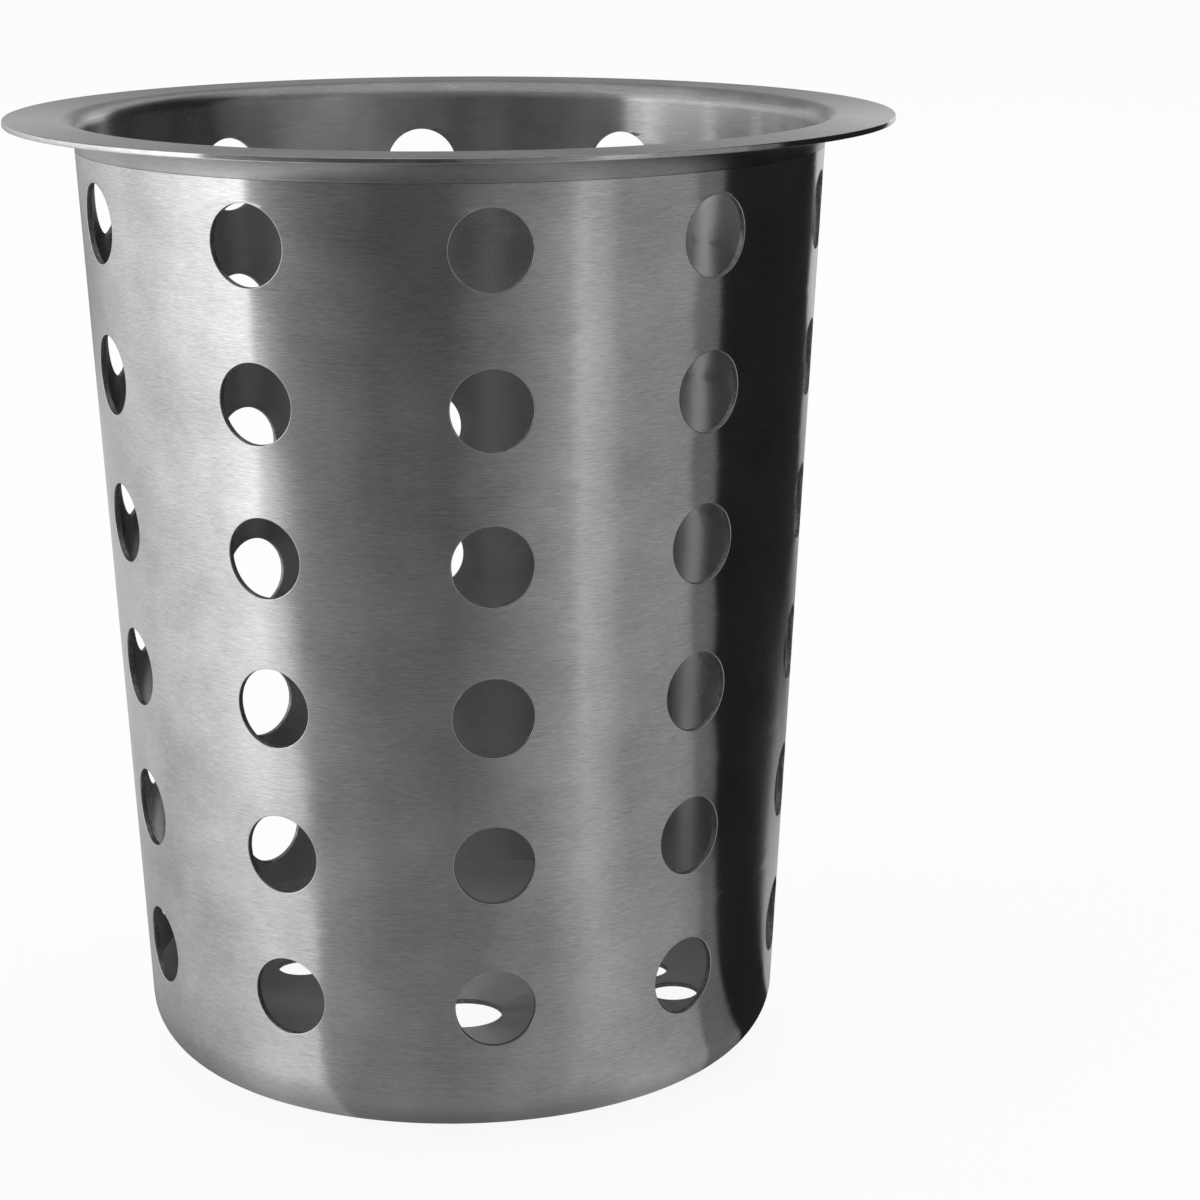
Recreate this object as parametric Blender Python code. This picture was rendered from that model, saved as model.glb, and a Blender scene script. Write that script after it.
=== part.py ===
"""A round, perforated cutlery caddy in brushed stainless sheet, built up as a small weldment.

A rolled and punched wall sleeve is closed by a straight weld down its back, joined by one round
weld to a pressed base pan with drain holes, and by another to a spun ring that carries the flange.
Units are metres. The caddy stands on z = 0, its axis is the Z axis and its front faces -Y.
"""
import math

import bmesh
import bpy
from mathutils import Matrix, Vector

# The cup as a whole
HEIGHT = 0.137                # table to the top face of the flange
FOOT_DIAMETER = 0.0922        # outside of the wall, if its line ran down to the table
WALL_FLARE = 0.0071           # how far the wall leans out on each side over the whole height
SHEET = 0.0008                # one gauge of sheet for all three pressings

# The flanged ring
FLANGE_WIDTH = 0.0097         # reach of the flat flange past the line of the wall
RIM_BEND_RADIUS = 0.0031      # hollow side of the bend under the flange
RIM_SKIRT = 0.0004            # straight stretch of the ring below its bend

# The base pan
CORNER_RADIUS = 0.008         # outside of the corner from base to wall
PAN_LIP = 0.0024              # straight upright lip above that corner

# The welds, ground flush with the sheet on both sides
WELD_WIDTH = 0.0009
FIT_GAP = 0.0003              # air between two pieces that meet

# The punched pattern of the wall
HOLE_DIAMETER = 0.01105
HOLE_ROW_PITCH = 0.0209
LOWER_LAND = 0.0026           # plain sheet between the sleeve's lower edge and the first holes
UPPER_LAND = 0.0012           # least plain sheet between the last holes and its upper edge
HOLE_COLUMNS = 10
FRONT_COLUMN_ANGLE = math.radians(5.3)
SEAM_AFTER_COLUMN = 6         # the side weld lies midway between this column and the next

# The drain holes of the base
CENTRE_DRAIN_DIAMETER = 0.0116
DRAIN_DIAMETER = 0.0076
DRAIN_BRIDGE = 0.003          # metal left between two drain holes of a group
DRAIN_LAND = 0.0014           # flat metal left between the drain holes and the corner
DRAIN_GROUPS = 4
DRAINS_PER_GROUP = 3
DRAIN_GROUP_ANGLE = math.radians(121.5)

# How finely the round shapes are drawn
FACETS = 60                   # a multiple of the columns, so each hole sits alike on its facets
BEND_STEPS = 4
CORNER_STEPS = 6
HOLE_SIDES = 20
DRAIN_SIDES = 16
CUT_OVERRUN = 0.002           # how far every cutter runs past the sheet
MERGE_DISTANCE = 0.000001
SHARP_ANGLE = math.radians(35)

UP = Vector((0, 0, 1))
FACET_ANGLE = math.tau / FACETS
FIRST_EDGE_ANGLE = FRONT_COLUMN_ANGLE + FACET_ANGLE / 2

# The line of the wall, and the heights at which the pieces meet
LEAN = math.atan(WALL_FLARE / HEIGHT)
SLANT = 1 / math.cos(LEAN)
CORNER_TOP = CORNER_RADIUS * (1 - math.sin(LEAN))
PAN_TOP = CORNER_TOP + PAN_LIP
BASE_WELD_LOW = PAN_TOP + FIT_GAP
SLEEVE_LOW = BASE_WELD_LOW + WELD_WIDTH + FIT_GAP
BEND_CENTRE_HEIGHT = HEIGHT - SHEET - RIM_BEND_RADIUS
RIM_LOW = BEND_CENTRE_HEIGHT - RIM_SKIRT
RIM_WELD_LOW = RIM_LOW - FIT_GAP - WELD_WIDTH
SLEEVE_TOP = RIM_WELD_LOW - FIT_GAP


def outer_radius(height):
    """Outside of the leaning wall at this height."""
    return FOOT_DIAMETER / 2 + math.tan(LEAN) * height


def inner_radius(height):
    """Inside of the leaning wall at this height."""
    return outer_radius(height) - SHEET * SLANT


def outward(angle):
    """Level direction at this angle, counted from the front towards the right hand side."""
    return Vector((math.sin(angle), -math.cos(angle), 0))


def arc(centre, radius, start, end, steps):
    """Points of an arc in the (radius, height) plane, both ends included."""
    turns = [start + (end - start) * step / steps for step in range(steps + 1)]
    return [(centre[0] + radius * math.cos(turn), centre[1] + radius * math.sin(turn)) for turn in turns]


def brushed_steel(name, shade, roughness):
    """Bare stainless steel of this shade."""
    material = bpy.data.materials.new(name)
    material.use_nodes = True
    shader = material.node_tree.nodes["Principled BSDF"]
    shader.inputs["Base Color"].default_value = (shade, shade, shade, 1)
    shader.inputs["Metallic"].default_value = 1
    shader.inputs["Roughness"].default_value = roughness
    material.diffuse_color = (shade, shade, shade, 1)
    return material


def place(name, bm, seat, material):
    """Make a named object of a finished mesh, whose own zero height is put at the seat."""
    bmesh.ops.recalc_face_normals(bm, faces=bm.faces)
    mesh = bpy.data.meshes.new(name)
    bm.to_mesh(mesh)
    bm.free()
    piece = bpy.data.objects.new(name, mesh)
    bpy.context.scene.collection.objects.link(piece)
    piece.location = UP * seat
    if material:
        mesh.materials.append(material)
    return piece


def turned(name, profile, seat, material):
    """Turn a closed outline of (radius, height) points once round the upright axis."""
    bm = bmesh.new()
    side = outward(FIRST_EDGE_ANGLE)
    corners = [bm.verts.new(side * radius + UP * (height - seat)) for radius, height in profile]
    edges = [bm.edges.new((corners[i - 1], corners[i])) for i in range(len(corners))]
    bmesh.ops.spin(bm, geom=corners + edges, cent=Vector(), axis=UP, angle=math.tau, steps=FACETS)
    bmesh.ops.remove_doubles(bm, verts=bm.verts, dist=MERGE_DISTANCE)
    return place(name, bm, seat, material)


def band(low, high):
    """Outline of a plain stretch of the wall between two heights."""
    return [(outer_radius(low), low), (outer_radius(high), high),
            (inner_radius(high), high), (inner_radius(low), low)]


def add_punch(bm, centre, direction, diameter, sides):
    """Add one round punch through the sheet at its middle, along the direction."""
    turn = UP.rotation_difference(direction).to_matrix().to_4x4()
    bmesh.ops.create_cone(bm, cap_ends=True, segments=sides, radius1=diameter / 2, radius2=diameter / 2,
                          depth=SHEET + 2 * CUT_OVERRUN, matrix=Matrix.Translation(centre) @ turn)


def cut(piece, cutter):
    """Cut one piece with a cutter, and keep the result as the piece's own mesh."""
    cutter.hide_render = True
    cutter.display_type = "WIRE"
    modifier = piece.modifiers.new("cut", "BOOLEAN")
    modifier.operation = "DIFFERENCE"
    modifier.solver = "EXACT"
    modifier.object = cutter
    evaluated = piece.evaluated_get(bpy.context.evaluated_depsgraph_get())
    result = bpy.data.meshes.new_from_object(evaluated)
    result.name = piece.name
    piece.modifiers.clear()
    piece.data = result
    bpy.data.objects.remove(cutter)


def shade_round(piece):
    """Shade the curved faces smooth and keep the cut edges crisp."""
    piece.data.shade_smooth()
    piece.data.set_sharp_from_angle(angle=SHARP_ANGLE)


def sheet_middle(angle, height):
    """Middle of the sheet at the centre of a facet of the sleeve."""
    radius = (outer_radius(height) + inner_radius(height)) / 2
    return outward(angle) * radius * math.cos(FACET_ANGLE / 2) + UP * height


def hole_rows():
    """Heights of the rows of holes, from the lowest up to the last that the sleeve has room for."""
    first = SLEEVE_LOW + LOWER_LAND + HOLE_DIAMETER / 2
    last = SLEEVE_TOP - UPPER_LAND - HOLE_DIAMETER / 2
    count = 1 + math.floor((last - first) / HOLE_ROW_PITCH)
    return [first + row * HOLE_ROW_PITCH for row in range(count)]


def column_angle(column):
    """Direction of a column of holes. Half numbers lie midway between two columns."""
    return FRONT_COLUMN_ANGLE + column * math.tau / HOLE_COLUMNS


def seam_bar(name, width, low, high, seat, depth, material):
    """An upright bar that follows the lean of the sleeve, as wide as stated and centred in the sheet."""
    angle = column_angle(SEAM_AFTER_COLUMN + 0.5)
    across = outward(angle + math.pi / 2) * width / 2
    through = outward(angle) * depth / 2
    bm = bmesh.new()
    ends = []
    for height in (low, high):
        middle = sheet_middle(angle, height) - UP * seat
        corners = (middle - across - through, middle + across - through,
                   middle + across + through, middle - across + through)
        ends.append([bm.verts.new(corner) for corner in corners])
    for i in range(4):
        bm.faces.new((ends[0][i - 1], ends[0][i], ends[1][i], ends[1][i - 1]))
    bm.faces.new(ends[0])
    bm.faces.new(ends[1])
    return place(name, bm, seat, material)


def make_rim_flange(material):
    """Flat flange, bent down into a short skirt that stands on the sleeve."""
    bend = (outer_radius(BEND_CENTRE_HEIGHT) + RIM_BEND_RADIUS * SLANT, BEND_CENTRE_HEIGHT)
    edge = outer_radius(HEIGHT) + FLANGE_WIDTH
    to_wall = math.pi - LEAN
    under = arc(bend, RIM_BEND_RADIUS, math.pi / 2, to_wall, BEND_STEPS)
    above = arc(bend, RIM_BEND_RADIUS + SHEET, to_wall, math.pi / 2, BEND_STEPS)
    skirt = [(outer_radius(RIM_LOW), RIM_LOW), (inner_radius(RIM_LOW), RIM_LOW)]
    outline = [(edge, HEIGHT), (edge, HEIGHT - SHEET)] + under + skirt + above
    shade_round(turned("rim_flange", outline, RIM_LOW, material))


def make_sleeve(material):
    """Punched sheet, rolled to a leaning ring that stays open along one upright slit."""
    sleeve = turned("perforated_wall", band(SLEEVE_LOW, SLEEVE_TOP), SLEEVE_LOW, material)
    punches = bmesh.new()
    for column in range(HOLE_COLUMNS):
        angle = column_angle(column)
        square_on = outward(angle) * math.cos(LEAN) - UP * math.sin(LEAN)
        for height in hole_rows():
            add_punch(punches, sheet_middle(angle, height), square_on, HOLE_DIAMETER, HOLE_SIDES)
    cut(sleeve, place("hole_punches", punches, 0, None))
    slit = seam_bar("seam_slit", WELD_WIDTH + 2 * FIT_GAP, SLEEVE_LOW - CUT_OVERRUN,
                    SLEEVE_TOP + CUT_OVERRUN, 0, SHEET + 2 * CUT_OVERRUN, None)
    cut(sleeve, slit)
    shade_round(sleeve)


def make_base_pan(material):
    """Flat base with its drain holes, and a round corner up into a short lip."""
    corner = (outer_radius(CORNER_RADIUS) - CORNER_RADIUS * SLANT, CORNER_RADIUS)
    drain_radius = CENTRE_DRAIN_DIAMETER / 2
    outside = arc(corner, CORNER_RADIUS, -math.pi / 2, -LEAN, CORNER_STEPS)
    inside = arc(corner, CORNER_RADIUS - SHEET, -LEAN, -math.pi / 2, CORNER_STEPS)
    lip = [(outer_radius(PAN_TOP), PAN_TOP), (inner_radius(PAN_TOP), PAN_TOP)]
    outline = [(drain_radius, 0)] + outside + lip + inside + [(drain_radius, SHEET)]
    pan = turned("base_pan", outline, 0, material)
    ring_radius = corner[0] - DRAIN_LAND - DRAIN_DIAMETER / 2
    step = 2 * math.asin((DRAIN_DIAMETER + DRAIN_BRIDGE) / 2 / ring_radius)
    punches = bmesh.new()
    for group in range(DRAIN_GROUPS):
        group_angle = DRAIN_GROUP_ANGLE + group * math.tau / DRAIN_GROUPS
        for hole in range(DRAINS_PER_GROUP):
            angle = group_angle + (hole - (DRAINS_PER_GROUP - 1) / 2) * step
            centre = outward(angle) * ring_radius + UP * SHEET / 2
            add_punch(punches, centre, UP, DRAIN_DIAMETER, DRAIN_SIDES)
    cut(pan, place("drain_punches", punches, 0, None))
    shade_round(pan)


def make_welds(material):
    """The two round welds and the upright one, each flush with the sheet that it joins."""
    for name, low in (("base_weld", BASE_WELD_LOW), ("rim_weld", RIM_WELD_LOW)):
        shade_round(turned(name, band(low, low + WELD_WIDTH), low, material))
    depth = SHEET * SLANT * math.cos(FACET_ANGLE / 2)
    seam_bar("side_weld", WELD_WIDTH, SLEEVE_LOW, SLEEVE_TOP, SLEEVE_LOW, depth, material)


def main():
    for old in list(bpy.data.objects):
        bpy.data.objects.remove(old)
    make_rim_flange(brushed_steel("rim_steel", 0.62, 0.30))
    make_sleeve(brushed_steel("wall_steel", 0.60, 0.34))
    make_base_pan(brushed_steel("base_steel", 0.58, 0.32))
    make_welds(brushed_steel("weld_steel", 0.52, 0.42))
    caddy = bpy.data.objects.new("cutlery_caddy", None)
    pieces = list(bpy.context.scene.collection.objects)
    bpy.context.scene.collection.objects.link(caddy)
    for piece in pieces:
        piece.parent = caddy


main()
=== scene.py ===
# %% [markdown]
# A cutlery caddy of brushed, punched steel sheet
#
# The caddy is a cup of thin stainless sheet: a wall punched with round holes, rolled and welded, a
# flared ring round the mouth and a pressed base with drain holes. This lesson dresses a measured frame
# of it: each piece of the frame is made again in fine mesh by ordinary modelling operators, gets a
# brushed finish, and stands in a small studio. The first lines load the frame, and its box gives the
# cup's height and the radius of its rim.

# %% Load the frame
import math

import bmesh
import bpy
from mathutils import Matrix, Vector


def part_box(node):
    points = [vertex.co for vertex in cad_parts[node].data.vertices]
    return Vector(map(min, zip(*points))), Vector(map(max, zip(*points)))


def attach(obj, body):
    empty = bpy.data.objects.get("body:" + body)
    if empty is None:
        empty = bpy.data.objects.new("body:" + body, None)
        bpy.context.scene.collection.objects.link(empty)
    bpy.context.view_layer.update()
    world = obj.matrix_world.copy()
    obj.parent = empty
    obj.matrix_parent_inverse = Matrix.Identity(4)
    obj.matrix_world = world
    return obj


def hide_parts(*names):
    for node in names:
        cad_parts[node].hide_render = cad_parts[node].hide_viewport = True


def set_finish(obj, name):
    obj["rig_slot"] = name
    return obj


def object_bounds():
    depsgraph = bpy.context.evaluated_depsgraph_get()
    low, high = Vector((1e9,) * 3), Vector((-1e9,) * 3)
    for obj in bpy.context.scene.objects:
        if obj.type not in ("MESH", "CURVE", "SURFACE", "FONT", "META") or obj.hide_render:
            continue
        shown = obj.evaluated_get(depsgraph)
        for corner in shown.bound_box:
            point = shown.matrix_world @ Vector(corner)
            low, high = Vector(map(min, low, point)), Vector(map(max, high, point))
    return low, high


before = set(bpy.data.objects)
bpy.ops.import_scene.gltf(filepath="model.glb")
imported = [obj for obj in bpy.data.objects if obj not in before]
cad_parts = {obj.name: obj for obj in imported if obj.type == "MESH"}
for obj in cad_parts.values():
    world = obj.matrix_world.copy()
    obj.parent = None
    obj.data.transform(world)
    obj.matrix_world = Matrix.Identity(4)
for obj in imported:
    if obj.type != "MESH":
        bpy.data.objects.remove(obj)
frame_low, frame_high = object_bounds()

# %% [markdown]
# The sizes that the pieces share
#
# The sheet is one gauge everywhere, and the wall is a cone that leans out a little. Heights are read
# from the frame, so that each new piece starts and ends where the measured one does. A seam in the
# frame is a slim band of weld with a hairline of air on both sides. On the real cup the weld has flowed
# into the sheet, so here the weld takes up the air as well, and the sleeve ends where the frame's
# sleeve ends.

# %% Shared sizes
SHEET = 0.0008
MERGE = 0.00001
FOOT_RADIUS = 0.0461
MOUTH_RADIUS = 0.0532
CORNER_RADIUS = 0.008
HEIGHT = frame_high.z
RIM_RADIUS = frame_high.x
WALL_LEAN = (MOUTH_RADIUS - FOOT_RADIUS) / HEIGHT

SLEEVE_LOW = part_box("perforated_wall")[0].z
SLEEVE_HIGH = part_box("perforated_wall")[1].z
PAN_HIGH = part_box("base_pan")[1].z
RING_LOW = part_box("rim_flange")[0].z
UNDERSIDE = HEIGHT - SHEET


def outer_radius(height):
    """Radius of the wall's outer face at a height above the table."""
    return FOOT_RADIUS + WALL_LEAN * height


print("wall leans", round(math.degrees(math.atan(WALL_LEAN)), 2), "degrees")

# %% [markdown]
# Working by hand, in code
#
# An operator acts on whatever is selected, as it does under a mouse. So the helpers here do what a hand
# does: let go of everything, pick the faces or edges that lie in a certain place, and apply a modifier
# or a move. They are small, because every piece below is made with them.

# %% Hands
def let_go():
    """Deselect all objects, so that the next operator touches only what is made next."""
    bpy.ops.object.select_all(action="DESELECT")


def take(piece):
    """Make one object the selected and active one."""
    let_go()
    piece.select_set(True)
    bpy.context.view_layer.objects.active = piece


def pick(piece, kind, test):
    """In edit mode, select the verts, edges or faces whose middle passes the test, and say how many."""
    mode = {"verts": "VERT", "edges": "EDGE", "faces": "FACE"}[kind]
    bpy.ops.mesh.select_mode(type=mode)
    bpy.ops.mesh.select_all(action="DESELECT")
    shape = bmesh.from_edit_mesh(piece.data)
    found = 0
    for element in getattr(shape, kind):
        corners = [element.co] if kind == "verts" else [vert.co for vert in element.verts]
        if test(sum(corners, Vector()) / len(corners), element):
            element.select_set(True)
            found += 1
    bmesh.update_edit_mesh(piece.data)
    return found


def modify(piece, kind, **settings):
    """Add one modifier, set it up and apply it."""
    take(piece)
    bpy.ops.object.modifier_add(type=kind)
    modifier = piece.modifiers[-1]
    for setting, value in settings.items():
        setattr(modifier, setting, value)
    bpy.ops.object.modifier_apply(modifier=modifier.name)


def settle(piece, name):
    """Put the object's place and turn into its mesh, and name it."""
    take(piece)
    bpy.ops.object.transform_apply(location=True, rotation=True, scale=True)
    piece.name = name
    piece.data.name = name
    return piece


let_go()

# %% [markdown]
# Sheets
#
# Nearly every piece starts as a sheet with no thickness, and only the ring round the mouth doesn't. The
# sheet's faces are turned outwards and down, so that its gauge always grows the same way, to the inside.
# Then it is shaded round, with sharp edges only where faces meet at a steep angle.

# %% Sheets
SMOOTH_BELOW = math.radians(50)
FACE_WEIGHT = 80


def close_up(piece):
    """Merge doubles and make all faces look to one side, which on a closed shell is the outside."""
    take(piece)
    bpy.ops.object.mode_set(mode="EDIT")
    bpy.ops.mesh.select_all(action="SELECT")
    bpy.ops.mesh.remove_doubles(threshold=MERGE)
    bpy.ops.mesh.normals_make_consistent(inside=False)
    bpy.ops.object.mode_set(mode="OBJECT")


def face_outwards(piece):
    """Turn a sheet's faces outwards and down, which is the outer side of every sheet here."""
    close_up(piece)
    outwards = 0
    for face in piece.data.polygons:
        away = Vector((face.center.x, face.center.y, 0)).normalized()
        outwards += face.area * (face.normal.dot(away) - face.normal.z)
    if outwards < 0:
        bpy.ops.object.mode_set(mode="EDIT")
        bpy.ops.mesh.flip_normals()
        bpy.ops.object.mode_set(mode="OBJECT")


def thicken(piece):
    """Give a sheet its gauge, away from the side that its faces look to."""
    face_outwards(piece)
    modify(piece, "SOLIDIFY", thickness=SHEET, offset=-1, use_even_offset=True)


def smooth(piece):
    """Shade round, and let the large faces decide the normals next to a fine bevel."""
    take(piece)
    bpy.ops.object.shade_smooth_by_angle(angle=SMOOTH_BELOW)
    modify(piece, "WEIGHTED_NORMAL", mode="FACE_AREA", weight=FACE_WEIGHT, keep_sharp=True)


# %% [markdown]
# One punched tile of the wall
#
# The wall of such a cup is punched while the sheet is flat, then rolled and welded. It is modelled in
# the same order, because a hole in a flat sheet is easy to make well: a square loop of edges and a
# round loop inside it are bridged, which gives even rings of four-sided faces round the hole. A boolean
# cut in a finished cone would leave long thin faces there, and they would show in the reflections. The
# sheet lies upright and flat in front of us while it is worked on, and one tile of it carries one hole.

# %% Punch a tile
HOLE_RADIUS = 0.005525
FIRST_ROW = 0.01961
ROW_PITCH = 0.0209
ROWS = 6
COLUMNS = 10
TILE_SIDE = 16
TILE_RINGS = 5
TILE_WIDTH = math.tau * FOOT_RADIUS / COLUMNS


def spread(height):
    """How much wider the flat sheet has become at this height, once it is rolled to a cone."""
    return outer_radius(height) / FOOT_RADIUS


def punched_tile(low, middle, high):
    """A flat tile, one column wide, with one hole that comes out round on the cone."""
    let_go()
    bpy.ops.mesh.primitive_grid_add(x_subdivisions=TILE_SIDE, y_subdivisions=TILE_SIDE, size=1,
                                    location=(0, 0, 0), rotation=(math.pi / 2, 0, 0))
    tile = bpy.context.object
    tile.scale = (TILE_WIDTH, high - low, 1)
    tile.location.z = (low + high) / 2
    settle(tile, "tile")
    bpy.ops.object.mode_set(mode="EDIT")
    pick(tile, "verts", lambda place, vert: not vert.is_boundary)
    bpy.ops.mesh.delete(type="VERT")
    bpy.ops.mesh.select_all(action="DESELECT")
    bpy.ops.mesh.primitive_circle_add(vertices=4 * TILE_SIDE, radius=HOLE_RADIUS,
                                      location=(0, 0, middle), rotation=(math.pi / 2, 0, 0))
    bpy.ops.transform.resize(value=(1 / spread(middle), 1, 1), center_override=(0, 0, middle))
    bpy.ops.mesh.select_all(action="SELECT")
    bpy.ops.mesh.bridge_edge_loops(number_cuts=TILE_RINGS - 1, interpolation="LINEAR")
    bpy.ops.object.mode_set(mode="OBJECT")
    return tile


rows = [FIRST_ROW + row * ROW_PITCH for row in range(ROWS)]
lows = [SLEEVE_LOW] + [row - ROW_PITCH / 2 for row in rows[1:]]
highs = lows[1:] + [SLEEVE_HIGH]
tiles = [punched_tile(*heights) for heights in zip(lows, rows, highs)]

# %% [markdown]
# The sheet, rolled and welded
#
# The six tiles are joined to one strip, the strip is repeated ten times, and its doubled points are
# merged. A narrow strip is cut away at both ends, because the weld goes there. Then the flat sheet is
# rolled with the bend of the Simple Deform modifier, which leaves every length along the sheet as it
# was, and its taper makes a cone of the tube. Both count from the object's origin: the bend's angle is
# spread over the sheet's width, and the taper's factor over its height. The sheet gets its gauge last,
# so that the taper doesn't stretch it.

# %% Roll the sheet
SEAM_ANGLE = math.radians(239.3)
SEAM_WIDTH = 0.0015
FLAT_START = FOOT_RADIUS * (SEAM_ANGLE - math.tau)
FLAT_END = FLAT_START + math.tau * FOOT_RADIUS


def roll(sheet):
    """Roll a flat upright sheet round the axis, one foot radius out, and lean it out to the cone."""
    across = [vert.co.x for vert in sheet.data.vertices]
    up = [vert.co.z for vert in sheet.data.vertices]
    modify(sheet, "SIMPLE_DEFORM", deform_method="BEND", deform_axis="Z",
           angle=(max(across) - min(across)) / FOOT_RADIUS)
    bpy.ops.object.mode_set(mode="EDIT")
    bpy.ops.mesh.select_all(action="SELECT")
    bpy.ops.transform.translate(value=(0, -FOOT_RADIUS, 0))
    bpy.ops.object.mode_set(mode="OBJECT")
    modify(sheet, "SIMPLE_DEFORM", deform_method="TAPER", deform_axis="Z",
           factor=WALL_LEAN * (max(up) - min(up)) / FOOT_RADIUS)


take(tiles[0])
for tile in tiles:
    tile.select_set(True)
bpy.ops.object.join()
wall = settle(bpy.context.object, "punched_wall")
modify(wall, "ARRAY", count=COLUMNS, use_relative_offset=False, use_constant_offset=True,
       constant_offset_displace=(TILE_WIDTH, 0, 0))
bpy.ops.object.mode_set(mode="EDIT")
bpy.ops.mesh.select_all(action="SELECT")
bpy.ops.mesh.remove_doubles(threshold=MERGE)
bpy.ops.transform.translate(value=(FLAT_START + TILE_WIDTH / 2, 0, 0))
for cut, kept_side in ((FLAT_START + SEAM_WIDTH / 2, 1), (FLAT_END - SEAM_WIDTH / 2, -1)):
    bpy.ops.mesh.select_all(action="SELECT")
    bpy.ops.mesh.bisect(plane_co=(cut, 0, 0), plane_no=(kept_side, 0, 0), clear_inner=True)
bpy.ops.object.mode_set(mode="OBJECT")
roll(wall)

# %% [markdown]
# Thickness, and the mark of the punch
#
# A punch pulls the edge of the sheet down as it goes in, so the outer edge of each hole is rolled over
# and catches the light as a thin ring. Behind, the edge is crisp. The holes' edges are picked by place:
# they are the sharp ones that lie away from the ends of the sheet.

# %% Gauge and hole edges
SHARP = math.radians(60)
ROLL_OVER = 0.00012
CRISP = 0.00005
END_MARGIN = 0.0008


def at_an_end(place):
    """Whether a point lies at the low or high end of the sleeve, or at its seam."""
    if place.z < SLEEVE_LOW + END_MARGIN or place.z > SLEEVE_HIGH - END_MARGIN:
        return True
    away = Vector((math.sin(SEAM_ANGLE), -math.cos(SEAM_ANGLE), 0))
    across = Vector((-away.y, away.x, 0))
    return place.dot(away) > 0 and abs(place.dot(across)) < SEAM_WIDTH


def is_hole_edge(place, edge, outside):
    """A sharp edge round a hole, on the outer or the inner face of the sheet."""
    if len(edge.link_faces) != 2 or edge.calc_face_angle() < SHARP or at_an_end(place):
        return False
    middle_of_sheet = outer_radius(place.z) - SHEET / 2
    return (math.hypot(place.x, place.y) > middle_of_sheet) == outside


thicken(wall)
bpy.ops.object.mode_set(mode="EDIT")
rims = pick(wall, "edges", lambda place, edge: is_hole_edge(place, edge, True))
bpy.ops.mesh.bevel(offset=ROLL_OVER, segments=3, affect="EDGES")
backs = pick(wall, "edges", lambda place, edge: is_hole_edge(place, edge, False))
bpy.ops.mesh.bevel(offset=CRISP, segments=1, affect="EDGES")
bpy.ops.object.mode_set(mode="OBJECT")
smooth(wall)
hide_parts("perforated_wall")
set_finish(wall, "wall_steel")
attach(wall, "root")
print(rims, "edges rolled over outside,", backs, "inside")

# %% [markdown]
# The weld that closes the wall
#
# The sleeve is closed by a weld from top to bottom. It is ground flush, so it shows only as a narrow
# strip with a faint crown. It is a strip of the same flat sheet, rolled with the same helper, so it
# can't miss the slit.

# %% Side weld
CROWN = 0.00003
STEPS_ACROSS = 4
STEPS_UP = 48


def closing_strip():
    """A strip as wide as the slit, with a raised middle for the crown."""
    let_go()
    bpy.ops.mesh.primitive_grid_add(x_subdivisions=STEPS_ACROSS, y_subdivisions=STEPS_UP, size=1,
                                    location=(0, 0, 0), rotation=(math.pi / 2, 0, 0))
    strip = bpy.context.object
    strip.scale = (SEAM_WIDTH, SLEEVE_HIGH - SLEEVE_LOW, 1)
    strip.location = (FLAT_START, 0, (SLEEVE_HIGH + SLEEVE_LOW) / 2)
    settle(strip, "closing_weld")
    bpy.ops.object.mode_set(mode="EDIT")
    pick(strip, "verts", lambda place, vert: abs(place.x - FLAT_START) < SEAM_WIDTH / 3)
    bpy.ops.transform.translate(value=(0, -CROWN, 0))
    bpy.ops.object.mode_set(mode="OBJECT")
    return strip


side_weld = closing_strip()
roll(side_weld)
thicken(side_weld)
smooth(side_weld)
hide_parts("side_weld")
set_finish(side_weld, "weld_steel")
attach(side_weld, "root")

# %% [markdown]
# Turned pieces
#
# The flared ring, the base and the round welds are all round about one axis. Each starts as one circle
# of edges, and every next ring is pulled out of the last by an extrude, moved up or down and scaled to
# its radius. That is a lathe in three operators, and it gives clean rings of faces that a spin would
# need more care for.

# %% Pull rings
ROUND_STEPS = 240


def turned(name, profile):
    """A sheet with no thickness, turned round the axis through the profile's (radius, height) points."""
    radius, height = profile[0]
    let_go()
    bpy.ops.mesh.primitive_circle_add(vertices=ROUND_STEPS, radius=radius, location=(0, 0, height))
    piece = settle(bpy.context.object, name)
    bpy.ops.object.mode_set(mode="EDIT")
    bpy.ops.mesh.select_all(action="SELECT")
    for next_radius, next_height in profile[1:]:
        bpy.ops.mesh.extrude_region_move(TRANSFORM_OT_translate={"value": (0, 0, next_height - height)})
        ratio = next_radius / radius
        bpy.ops.transform.resize(value=(ratio, ratio, 1), center_override=(0, 0, next_height))
        radius, height = next_radius, next_height
    bpy.ops.object.mode_set(mode="OBJECT")
    return piece


def arc(centre, radius, start, end, steps):
    """Points of an arc in the plane of a profile, angles in degrees from the outward direction."""
    turns = [math.radians(start + (end - start) * step / steps) for step in range(steps + 1)]
    return [(centre[0] + radius * math.cos(turn), centre[1] + radius * math.sin(turn)) for turn in turns]


# %% [markdown]
# The flared ring
#
# The mouth is a ring of the same sheet, flared out to a flat flange. Its bend meets the neck at a
# slight crease, which shows as a crisp line round the neck just under the flange. The inner side of the
# bend is tighter than the outer one, because it is pressed over a sharper tool and the hollow outside
# is filled a little by the weld. So this ring isn't a sheet with a gauge: its whole outline is pulled,
# up the outside, along the underside of the flange, round the bare edge, back along the top and down
# the inside.

# %% Rim ring
BEND_RADIUS = 0.004
INNER_BEND = 0.0027
BEND_STEPS = 16
FLANGE_SHARES = (0.25, 0.5, 0.75, 1)


def towards_rim(start, height):
    """Points of the flange, from a start radius out to the rim."""
    return [(start + (RIM_RADIUS - start) * share, height) for share in FLANGE_SHARES]


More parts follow.
